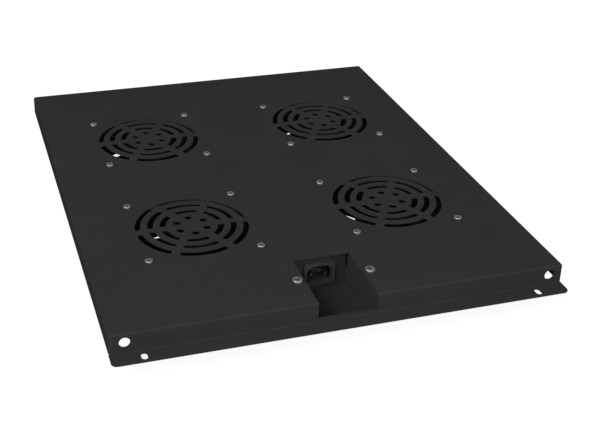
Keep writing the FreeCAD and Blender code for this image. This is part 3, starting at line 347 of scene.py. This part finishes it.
def box_between(low, high):
    """A bmesh box between two corners."""
    mesh = bmesh.new()
    low, high = Vector(low), Vector(high)
    bmesh.ops.create_cube(mesh, size=1)
    bmesh.ops.scale(mesh, vec=high - low, verts=mesh.verts)
    bmesh.ops.translate(mesh, vec=(low + high) / 2, verts=mesh.verts)
    return mesh


print("piece helpers ready")

# %% [markdown]
# ## The tray's sheet
# The real tray is cut from one sheet and folded. Its skin is modelled first, as a surface with no
# thickness: a box without its floor, with rounded corners and bends, and a flange spun out of the
# foot of the front wall. The Solidify modifier then gives the whole skin the sheet's thickness.

# %% Fold the box
BEND_STEPS = 6


def at(value, target):
    return abs(value - target) < 1e-6


def spans(edge, axis, value):
    """Whether both ends of an edge lie at one place along an axis."""
    return all(at(vert.co[axis], value) for vert in edge.verts)


Y, Z = 1, 2
skin = box_between((tray_low.x, front_face, flange_top), (tray_high.x, tray_high.y, plate_top))
floor_faces = [face for face in skin.faces if all(at(v.co.z, flange_top) for v in face.verts)]
bmesh.ops.delete(skin, geom=floor_faces, context="FACES")
uprights = [edge for edge in skin.edges if at(edge.verts[0].co.x, edge.verts[1].co.x)
            and at(edge.verts[0].co.y, edge.verts[1].co.y)]
bmesh.ops.bevel(skin, geom=uprights, offset=CORNER, offset_type="OFFSET", segments=BEND_STEPS,
                profile=0.5, affect="EDGES", material=-1)
rim = [edge for edge in skin.edges if spans(edge, Z, plate_top)]
bmesh.ops.bevel(skin, geom=rim, offset=BEND, offset_type="OFFSET", segments=BEND_STEPS,
                profile=0.5, affect="EDGES", material=-1)
print("box", len(skin.faces), "faces")

# %% [markdown]
# The flange's bend starts a little above its top face, and stops where the round corners begin.
# The plane of a bisect marks that height on the front wall, and the strip below it is removed.
# Spinning the strip's upper edge a quarter turn makes the bend.

# %% Spin the flange's bend and draw the flange
INNER_BEND = BEND - SHEET
FLANGE_CORNER = 5.0 * MM
bend_start = flange_top + INNER_BEND
bend_end_x = tray_high.x - CORNER


def front_wall():
    return [face for face in skin.faces
            if all(at(vert.co.y, front_face) for vert in face.verts)]


def with_borders(faces):
    """Faces with their edges and vertices, as an operator wants them."""
    edges = {edge for face in faces for edge in face.edges}
    verts = {vert for face in faces for vert in face.verts}
    return list(faces) + list(edges) + list(verts)


bmesh.ops.bisect_plane(skin, geom=with_borders(front_wall()), plane_co=(0, 0, bend_start),
                       plane_no=(0, 0, 1))
strip = [face for face in front_wall() if face.calc_center_median().z < bend_start]
bmesh.ops.delete(skin, geom=strip, context="FACES")
bend_edge = [edge for edge in skin.edges if spans(edge, Y, front_face)
             and spans(edge, Z, bend_start) and len(edge.link_faces) == 1
             and max(abs(vert.co.x) for vert in edge.verts) < bend_end_x + MM / 10]
bend_ends = [vert for edge in bend_edge for vert in edge.verts]
turned = bmesh.ops.spin(skin, geom=bend_edge + bend_ends, angle=math.radians(-90),
                        axis=(1, 0, 0), cent=(0, front_face - INNER_BEND, bend_start),
                        steps=BEND_STEPS)
last = sorted(vertices_of(turned["geom_last"]), key=lambda vert: vert.co.x)
print("bend edges", len(bend_edge), "ends at", [round(c / MM, 2) for c in last[0].co])

# %% [markdown]
# The flat of the flange runs on below both corners of the wall, so no light shows through there.

# %% Draw the flange's flat
heel_y = front_face + SHEET
corners = []
for x, y in ((bend_end_x, heel_y), (tray_high.x, heel_y), (tray_high.x, tray_low.y),
             (tray_low.x, tray_low.y), (tray_low.x, heel_y), (-bend_end_x, heel_y)):
    corners.append(skin.verts.new((x, y, flange_top)))
skin.faces.new([last[0], last[-1], *corners])
bmesh.ops.bevel(skin, geom=corners[2:4], offset=FLANGE_CORNER, offset_type="OFFSET",
                segments=BEND_STEPS, profile=0.5, affect="VERTICES", material=-1)
print("skin with its flange", len(skin.faces), "faces")

# %% [markdown]
# ## The raised grilles
# A press lifts a disc over each fan, which stiffens it and keeps fingers off the blades. The disc is
# a surface of revolution, so its profile is drawn once and spun round each fan's shaft. The flat
# between the discs and the bends is then filled in one operation that leaves the round holes open.

# %% Spin the discs and fill the plate round them
GRILLE_RADIUS = 54.6 * MM
CROWN_RADIUS = 49.4 * MM
PRESS_ROUND = 1.2 * MM
DISC_STEPS = 96


def disc_profile():
    """The raised disc's section from its foot to its middle, with both of its bends rounded."""
    profile = bmesh.new()
    spots = ((GRILLE_RADIUS + 2 * PRESS_ROUND, 0), (GRILLE_RADIUS, 0),
             (CROWN_RADIUS, GRILLE_RISE), (0, GRILLE_RISE))
    verts = [profile.verts.new((radius, 0, height)) for radius, height in spots]
    for start, end in zip(verts, verts[1:]):
        profile.edges.new((start, end))
    bmesh.ops.bevel(profile, geom=verts[1:3], offset=PRESS_ROUND, offset_type="OFFSET",
                    segments=4, profile=0.5, affect="VERTICES", material=-1)
    return profile


disc = disc_profile()
bmesh.ops.spin(disc, geom=everything(disc), angle=math.radians(360), axis=(0, 0, 1),
               cent=(0, 0, 0), steps=DISC_STEPS, use_merge=True)
bmesh.ops.remove_doubles(disc, verts=disc.verts, dist=MM / 100)
repeat(disc, [Matrix.Translation((centre.x, centre.y, plate_top)) for centre in fan_centres])
print("discs", len(disc.faces), "faces")

top_face = max(skin.faces, key=lambda face: face.calc_area())
bmesh.ops.delete(skin, geom=[top_face], context="FACES_ONLY")
add_to(skin, disc)
borders = [edge for edge in skin.edges if spans(edge, Z, plate_top) and edge.is_boundary]
bmesh.ops.triangle_fill(skin, edges=borders, use_beauty=True)
bmesh.ops.remove_doubles(skin, verts=skin.verts, dist=MM / 1000)
bmesh.ops.recalc_face_normals(skin, faces=skin.faces)
upward = max(skin.faces, key=lambda face: face.calc_center_median().z)
if upward.normal.z < 0:
    bmesh.ops.reverse_faces(skin, faces=skin.faces)
print("borders", len(borders), "skin", len(skin.faces), "faces")

# %% [markdown]
# The skin is the outside of the sheet, so all of the thickness is added on its inner side.

# %% Give the skin the sheet's thickness
tray = wrap(skin, "tray_sheet")
thicken = tray.modifiers.new("thickness", "SOLIDIFY")
thicken.thickness = SHEET
thicken.offset = -1
thicken.use_even_offset = True
apply_modifiers(tray)
print("sheet", len(tray.data.polygons), "faces")

# %% [markdown]
# ## What is punched out of the sheet
# Each slot lies between two webs whose sides are parallel, so it isn't a plain sector. A radial
# edge is spun into a strip, a bisect trims both of its ends beside the webs, and a bevel on its
# four corners rounds them. Copies of that slot go round each fan, and one Boolean punches them all.

# %% Slots of the grilles
RING_SLOTS = 6
SLOT_ROUND = 1.8 * MM
RINGS = ((49.0 * MM, 54.3 * MM, 8.0 * MM), (36.9 * MM, 42.5 * MM, 6.5 * MM),
         (24.7 * MM, 30.7 * MM, 7.5 * MM))
HOLE_RADIUS = 3.75 * MM
HOLE_CIRCLE = 15 * MM
sector = math.radians(360 / RING_SLOTS)
PUNCH_REACH = 3 * SHEET
punch_low = plate_top - PUNCH_REACH
punch_high = tray_high.z + SHEET


def raise_outline(mesh, low, high):
    """Stands a flat outline at one height and extrudes it up to another."""
    bmesh.ops.translate(mesh, vec=(0, 0, low), verts=mesh.verts)
    top = bmesh.ops.extrude_face_region(mesh, geom=mesh.faces[:])["geom"]
    bmesh.ops.translate(mesh, vec=(0, 0, high - low), verts=vertices_of(top))
    bmesh.ops.recalc_face_normals(mesh, faces=mesh.faces)


def slot_punch(inner, outer, web):
    """The punch of one slot, between the webs at the two ends of its sector."""
    mesh = bmesh.new()
    ends = [mesh.verts.new((radius, 0, 0)) for radius in (inner, outer)]
    edge = mesh.edges.new(ends)
    bmesh.ops.spin(mesh, geom=[edge, *ends], angle=sector, axis=(0, 0, 1), cent=(0, 0, 0),
                   steps=DISC_STEPS // RING_SLOTS)
    for turn, side in ((0, -1), (sector, 1)):
        across = Matrix.Rotation(turn, 3, "Z") @ Vector((0, side, 0))
        bmesh.ops.bisect_plane(mesh, geom=everything(mesh), plane_co=-across * web / 2,
                               plane_no=across, clear_outer=True)
    bmesh.ops.dissolve_faces(mesh, faces=mesh.faces[:])
    bends = [vert for vert in mesh.verts if vert.calc_edge_angle(0) > sector / 2]
    bmesh.ops.bevel(mesh, geom=bends, offset=SLOT_ROUND, offset_type="OFFSET", segments=4,
                    profile=0.5, affect="VERTICES", material=-1)
    raise_outline(mesh, punch_low, punch_high)
    return mesh


def round_punch(radius, low, high, segments=32):
    mesh = bmesh.new()
    bmesh.ops.create_circle(mesh, cap_ends=True, radius=radius, segments=segments)
    raise_outline(mesh, low, high)
    return mesh


punches = bmesh.new()
for inner, outer, web in RINGS:
    add_to(punches, slot_punch(inner, outer, web))
hole = round_punch(HOLE_RADIUS, punch_low, punch_high)
bmesh.ops.translate(hole, vec=(0, HOLE_CIRCLE, 0), verts=hole.verts)
add_to(punches, hole)
turns = [Matrix.Rotation(sector * step, 4, "Z") for step in range(RING_SLOTS)]
repeat(punches, turns)
repeat(punches, [Matrix.Translation((centre.x, centre.y, 0)) for centre in fan_centres])
print("grille punches", len(punches.faces), "faces")

# %% [markdown]
# The front wall has a round hole near each end, the flange a slotted one, and the recess for the
# inlet takes a bite out of the plate and most of the front wall. They join the same punch.

# %% Holes in the front and the recess
FACE_HOLE_RADIUS = 4.75 * MM
FACE_HOLE_X = 194.5 * MM
FACE_HOLE_DROP = 8.5 * MM
SLOT_WIDTH = 5.5 * MM
SLOT_LENGTH = 9.0 * MM
SLOT_X = 180 * MM
SLOT_REACH = 8.0 * MM
RECESS_WIDTH = 54.6 * MM
RECESS_LENGTH = 72.2 * MM
RECESS_DROP = 15.4 * MM
OBLONG_STEPS = 32

face_hole = round_punch(FACE_HOLE_RADIUS, -PUNCH_REACH, PUNCH_REACH)
bmesh.ops.rotate(face_hole, matrix=Matrix.Rotation(math.radians(90), 3, "X"), cent=(0, 0, 0),
                 verts=face_hole.verts)
repeat(face_hole, [Matrix.Translation((side * FACE_HOLE_X, front_face,
                                       plate_top - FACE_HOLE_DROP)) for side in (-1, 1)])
add_to(punches, face_hole)

oblong = bmesh.new()
bmesh.ops.create_circle(oblong, cap_ends=True, radius=SLOT_WIDTH / 2, segments=OBLONG_STEPS)
half_step = math.radians(360 / (2 * OBLONG_STEPS))
bmesh.ops.rotate(oblong, matrix=Matrix.Rotation(half_step, 3, "Z"),
                 cent=(0, 0, 0), verts=oblong.verts)
for side in (-1, 1):
    half = [vert for vert in oblong.verts if vert.co.y * side > 0]
    bmesh.ops.translate(oblong, vec=(0, side * (SLOT_LENGTH - SLOT_WIDTH) / 2, 0), verts=half)
raise_outline(oblong, flange_top - PUNCH_REACH, flange_top + 2 * SHEET)
repeat(oblong, [Matrix.Translation((side * SLOT_X, front_face - SLOT_REACH, 0))
                for side in (-1, 1)])
add_to(punches, oblong)

recess = box_between((-RECESS_WIDTH / 2, front_face - SHEET, plate_top - RECESS_DROP),
                     (RECESS_WIDTH / 2, front_face + RECESS_LENGTH, punch_high))
add_to(punches, recess)
print("all punches", len(punches.faces), "faces")

# %% [markdown]
# One Boolean takes all of them out of the sheet, which then stands in for its CAD node.

# %% Punch the sheet
cut_away(tray, wrap(punches, "punches"))
settle(tray, powder, ["tray_plate"])

# %% [markdown]
# ## Screws
# The screws are pan heads with a cross recess. A cylinder's top rim is bevelled in several segments
# until it is the low dome of a pan head. Two tapered bars, crossed, cut the recess. The shares
# below are of the head's radius or height, so that both sizes of screw have the same shape.

# %% Model one pan head screw
HEAD_ROUND = 0.42
CROSS_SPAN = 1.3
CROSS_WIDTH = 0.42
CROSS_DEPTH = 1.1
CROSS_TAPER = (0.6, 0.7, 1)
TIP_CHAMFER = 0.3


def disc_prism(radius, low, high, segments=32):
    mesh = bmesh.new()
    bmesh.ops.create_cone(mesh, cap_ends=True, segments=segments, radius1=radius, radius2=radius,
                          depth=high - low)
    bmesh.ops.translate(mesh, vec=(0, 0, (low + high) / 2), verts=mesh.verts)
    return mesh


def recess_bar(span, width, depth, top):
    """A bar that narrows downwards, as one arm of the cross does."""
    bar = box_between((-span / 2, -width / 2, top - depth), (span / 2, width / 2, top + depth))
    foot = [vert for vert in bar.verts if vert.co.z < top]
    bmesh.ops.scale(bar, vec=CROSS_TAPER, verts=foot)
    return bar


def pan_screw(name, head_radius, head_height, shank_radius, length):
    """A screw that stands on its head's underside, with its shank below."""
    head = disc_prism(head_radius, 0, head_height)
    top_rim = [edge for edge in head.edges if spans(edge, Z, head_height)]
    bmesh.ops.bevel(head, geom=top_rim, offset=HEAD_ROUND * head_height, offset_type="OFFSET",
                    segments=6, profile=0.5, affect="EDGES", material=-1)
    screw = wrap(head, name)
    for turn in (0, 90):
        bar = recess_bar(CROSS_SPAN * head_radius, CROSS_WIDTH * head_radius,
                         CROSS_DEPTH * head_height, head_height)
        bmesh.ops.rotate(bar, matrix=Matrix.Rotation(math.radians(turn), 3, "Z"),
                         cent=(0, 0, 0), verts=bar.verts)
        cut_away(screw, wrap(bar, name + "_bar"))
    shape = bmesh.new()
    shape.from_mesh(screw.data)
    bpy.data.objects.remove(screw)
    shank = disc_prism(shank_radius, -length, 0, 20)
    tip = [edge for edge in shank.edges if spans(edge, Z, -length)]
    bmesh.ops.bevel(shank, geom=tip, offset=TIP_CHAMFER * shank_radius, offset_type="OFFSET",
                    segments=1, profile=0.5, affect="EDGES", material=-1)
    add_to(shape, shank)
    return shape


print("screw helpers ready")

# %% [markdown]
# Nobody lines up the crosses when the screws go in, so each copy is turned by its own amount. The
# turns come from a fixed step, which gives the same picture every time.

# %% Place the screws
FAN_HOLE = 52.5 * MM
BRACKET_SCREW_X = 34.2 * MM
TURN_STEP = 37


def placed(screw, spots):
    """Copies of a screw that stand on the plate, each with its cross turned differently."""
    places = []
    for index, (x, y) in enumerate(spots):
        turn = Matrix.Rotation(math.radians(TURN_STEP * index), 4, "Z")
        places.append(Matrix.Translation((x, y, plate_top)) @ turn)
    repeat(screw, places)
    return screw


fan_spots = [(centre.x + right * FAN_HOLE, centre.y + rear * FAN_HOLE)
             for centre in fan_centres for right in (-1, 1) for rear in (-1, 1)]
fan_screw = pan_screw("fan_screw", head_radius=3.8 * MM, head_height=2.0 * MM,
                      shank_radius=2.0 * MM, length=10 * MM)
fan_screws = placed(fan_screw, fan_spots)
settle(wrap(fan_screws, "fan_pan_screws"), zinc, ["fan_screws"])

bracket_low, bracket_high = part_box("bracket_screws")
bracket_y = (bracket_low.y + bracket_high.y) / 2
bracket_spots = [(side * BRACKET_SCREW_X, bracket_y) for side in (-1, 1)]
bracket_screw = pan_screw("bracket_screw", head_radius=4.7 * MM, head_height=2.4 * MM,
                          shank_radius=2.5 * MM, length=8 * MM)
bracket_screws = placed(bracket_screw, bracket_spots)
settle(wrap(bracket_screws, "bracket_pan_screws"), zinc, ["bracket_screws"])

# %% [markdown]
# ## Floor, light and camera
# The photograph stands on white with hardly a shadow. The floor is white to the camera by emission,
# and still darkens a little under the tray. To the light that bounces it is a dull grey, because the
# front wall in the picture is no lighter at its foot than at its top.

# %% Floor
FLOOR_SIZE = 20
BOUNCE_GREY = 0.15
SEEN_GLOW = 0.93
SEEN_GREY = 0.12
floor_mesh = bmesh.new()
bmesh.ops.create_grid(floor_mesh, x_segments=1, y_segments=1, size=FLOOR_SIZE)
floor = wrap(floor_mesh, "floor")
paper = bpy.data.materials.new("white_paper")
paper.use_nodes = True
nodes, links = paper.node_tree.nodes, paper.node_tree.links
nodes.clear()
output = nodes.new("ShaderNodeOutputMaterial")
matt = nodes.new("ShaderNodeBsdfDiffuse")
matt.inputs["Color"].default_value = (BOUNCE_GREY, BOUNCE_GREY, BOUNCE_GREY, 1)
glow = nodes.new("ShaderNodeEmission")
glow.inputs["Strength"].default_value = SEEN_GLOW
dim = nodes.new("ShaderNodeBsdfDiffuse")
dim.inputs["Color"].default_value = (SEEN_GREY, SEEN_GREY, SEEN_GREY, 1)
seen = nodes.new("ShaderNodeAddShader")
choose = nodes.new("ShaderNodeMixShader")
path = nodes.new("ShaderNodeLightPath")
direct = path.outputs["Is Camera Ray"]
for kind in ("Is Glossy Ray", "Is Transmission Ray"):
    either = nodes.new("ShaderNodeMath")
    either.operation = "MAXIMUM"
    links.new(direct, either.inputs[0])
    links.new(path.outputs[kind], either.inputs[1])
    direct = either.outputs["Value"]
links.new(glow.outputs["Emission"], seen.inputs[0])
links.new(dim.outputs["BSDF"], seen.inputs[1])
links.new(direct, choose.inputs["Fac"])
links.new(matt.outputs["BSDF"], choose.inputs[1])
links.new(seen.outputs["Shader"], choose.inputs[2])
links.new(choose.outputs["Shader"], output.inputs["Surface"])
floor.data.materials.append(paper)
print("floor", [round(side, 1) for side in floor.dimensions])

# %% [markdown]
# The sky is even and weak. It mirrors in the screw heads, which then show as rings round their
# crosses. The camera sees plain white in its place.

# %% Sky
SKY_STRENGTH = 0.29
world = bpy.data.worlds.new("studio")
bpy.context.scene.world = world
world.use_nodes = True
nodes, links = world.node_tree.nodes, world.node_tree.links
sky = nodes["Background"]
sky.inputs["Strength"].default_value = SKY_STRENGTH
sky.inputs["Color"].default_value = (1, 1, 1, 1)
white = nodes.new("ShaderNodeBackground")
white.inputs["Strength"].default_value = 1.0
white.inputs["Color"].default_value = (1, 1, 1, 1)
path = nodes.new("ShaderNodeLightPath")
choose = nodes.new("ShaderNodeMixShader")
links.new(path.outputs["Is Camera Ray"], choose.inputs["Fac"])
links.new(sky.outputs["Background"], choose.inputs[1])
links.new(white.outputs["Background"], choose.inputs[2])
links.new(choose.outputs["Shader"], nodes["World Output"].inputs["Surface"])
print("sky", SKY_STRENGTH)

# %% [markdown]
# The large key lamp stands to the left of the front: the recess shows it, since its right wall is
# lighter than its floor. A lower lamp fills the front wall, and a weak one on the right gives the
# screw heads their far edges. A lamp's azimuth runs to the left from the front.

# %% Lamps
LAMP_DISTANCE = 5
LAMP_SIZE = 3.0


def add_lamp(name, azimuth, elevation, power):
    """A square soft lamp that looks at the middle of the tray."""
    side, rise = math.radians(azimuth), math.radians(elevation)
    spot = LAMP_DISTANCE * Vector((-math.sin(side) * math.cos(rise),
                                   -math.cos(side) * math.cos(rise), math.sin(rise)))
    lamp = bpy.data.objects.new(name, bpy.data.lights.new(name, "AREA"))
    lamp.data.size = LAMP_SIZE
    lamp.data.energy = power
    lamp.location = spot
    lamp.rotation_euler = (-spot).to_track_quat("-Z", "Y").to_euler()
    bpy.context.scene.collection.objects.link(lamp)


add_lamp("key_lamp", azimuth=56, elevation=41, power=235)
add_lamp("fill_lamp", azimuth=-10, elevation=12, power=118)
add_lamp("edge_lamp", azimuth=-75, elevation=25, power=35)
print("lamps", len(bpy.data.lights))

# %% [markdown]
# The camera stands where the photographer stood. Its place, its turns and its focal length were
# fitted to the screws, the holes and the outline in the picture. The lens is shifted, because the
# picture was cropped off its own middle.

# %% Camera
IMAGE_WIDTH = 600
FOCAL_PIXELS = 1126.3
SHIFT = (0.04944, -0.10518)
STAND = Vector((-0.31712, -0.99866, 0.57057))
AZIMUTH, ELEVATION, ROLL = 17.907, 26.006, 1.360
camera = bpy.data.objects.new("camera", bpy.data.cameras.new("camera"))
camera.data.sensor_width = 36
camera.data.lens = FOCAL_PIXELS * camera.data.sensor_width / IMAGE_WIDTH
camera.data.shift_x, camera.data.shift_y = SHIFT
camera.data.clip_start, camera.data.clip_end = 0.01, 50
aim = (Matrix.Rotation(math.radians(-AZIMUTH), 4, "Z")
       @ Matrix.Rotation(math.radians(90 - ELEVATION), 4, "X")
       @ Matrix.Rotation(math.radians(ROLL), 4, "Z"))
camera.matrix_world = Matrix.Translation(STAND) @ aim
bpy.context.scene.collection.objects.link(camera)
bpy.context.scene.camera = camera
bpy.context.scene.view_settings.view_transform = "Standard"
print("lens", round(camera.data.lens, 2), "mm")
